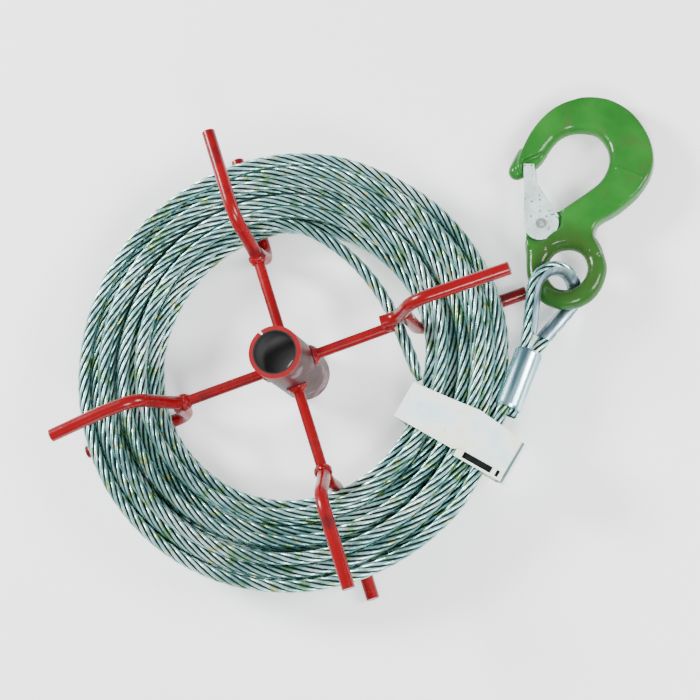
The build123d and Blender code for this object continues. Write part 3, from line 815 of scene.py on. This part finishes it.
def make_hook():
    """The CAD hook, softened and regrown, with a draft, a rib and a forging's slight roughness."""
    hook = copy_of_node("hook_body", "forged_hook")
    add_balls(hook, ring_balls())
    remeshed(hook, HOOK_VOXEL)
    smoothed(hook, hook_softness, HOOK_SMOOTHING)
    normals = [vertex.normal.copy() for vertex in hook.data.vertices]
    for vertex, normal in zip(hook.data.vertices, normals):
        point = vertex.co / MM
        flat = hook_flat(point)
        regrow = SHRINKAGE * smoothstep((42 - flat.length) / 12) * smoothstep((20 - flat.y) / 14)
        rough = 0.22 * noise.noise(point * 0.12) + 0.06 * noise.noise(point * 0.5)
        height = (point - HOOK_CENTRE).dot(hook_up)
        lean = (normal - hook_up * normal.dot(hook_up)) * hook_draft(flat, height)
        raised = rib_height(flat) if height > TOP_FACE else 0.0
        drop = RING_DROP * smoothstep(-flat.y / 26)
        vertex.co += (normal * (regrow + rough) + hook_up * raised - hook_length * drop - lean) * MM
    dress(hook, GREEN)
    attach(hook, HOOK)
    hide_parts("hook_body")
    print("hook faces:", len(hook.data.polygons))


make_hook()


# ---- the welds, as lumpy beads --------------------------------------------------------------
WELD_VOXEL = 0.0006             # metres
WELD_SOFTNESS = 0.6
WELD_SMOOTHING = 6


def make_weld(node, name):
    """The CAD beads of a node, made lumpy."""
    weld = copy_of_node(node, name)
    remeshed(weld, WELD_VOXEL)
    smoothed(weld, lambda point: WELD_SOFTNESS, WELD_SMOOTHING)
    normals = [vertex.normal.copy() for vertex in weld.data.vertices]
    for vertex, normal in zip(weld.data.vertices, normals):
        point = vertex.co / MM
        lump = 0.9 * noise.noise(point * 0.35) + 0.4 * noise.noise(point * 0.9) - 0.2
        vertex.co += normal * lump * MM
    dress(weld, RED)
    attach(weld, ROOT)
    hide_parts(node)
    print(name, "faces:", len(weld.data.polygons))


make_weld("hub_welds", "hub_weld_beads")
make_weld("fork_welds", "fork_weld_beads")

# ---- the rope, in place of the CAD's rope nodes ---------------------------------------------
rope.data.materials.append(ROPE)
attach(rope, ROOT)
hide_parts("rope_coil", "rope_lead", "rope_eye", "rope_splice", "rope_dead_end", "rope_tail",
            "rope_tip")


# ---- floor and light ------------------------------------------------------------------------
FLOOR_HALF = 6000.0


def make_floor():
    """The pale studio floor under the object."""
    corners = [(x * FLOOR_HALF, y * FLOOR_HALF, 0) for x, y in ((-1, -1), (1, -1), (1, 1), (-1, 1))]
    floor = new_mesh("floor", corners, [(0, 1, 2, 3)])
    floor.location.z = -0.0004          # just under the object
    material, _, shader = new_material("floor", Roughness=0.9, Specular_IOR_Level=0.2)
    shader.inputs["Base Color"].default_value = (0.93, 0.93, 0.93, 1)
    shader.inputs["Emission Color"].default_value = (1, 1, 1, 1)
    shader.inputs["Emission Strength"].default_value = 0.5
    floor.data.materials.append(material)


def area_light(name, at, target, size, watts):
    """A round soft light at a place, which shines at its target."""
    light = bpy.data.lights.new(name, "AREA")
    light.shape = "DISK"
    light.size = size
    light.energy = watts
    obj = bpy.data.objects.new(name, light)
    obj.location = at
    obj.rotation_euler = (Vector(at) - Vector(target)).to_track_quat("Z", "Y").to_euler()
    bpy.context.scene.collection.objects.link(obj)


def make_world():
    """Even white light from all round."""
    world = bpy.data.worlds.new("world")
    world.use_nodes = True
    background = world.node_tree.nodes["Background"]
    background.inputs["Color"].default_value = (1, 1, 1, 1)
    background.inputs["Strength"].default_value = 0.5
    bpy.context.scene.world = world


make_floor()
make_world()
area_light("key", (-1.25, 1.1, 1.2), (0, 0, 0), 0.7, 80)
area_light("fill", (1.5, -0.5, 1.2), (0.05, 0, 0), 0.8, 40)
area_light("front", (0.2, -1.7, 1.9), (0.05, 0, 0), 0.9, 56)
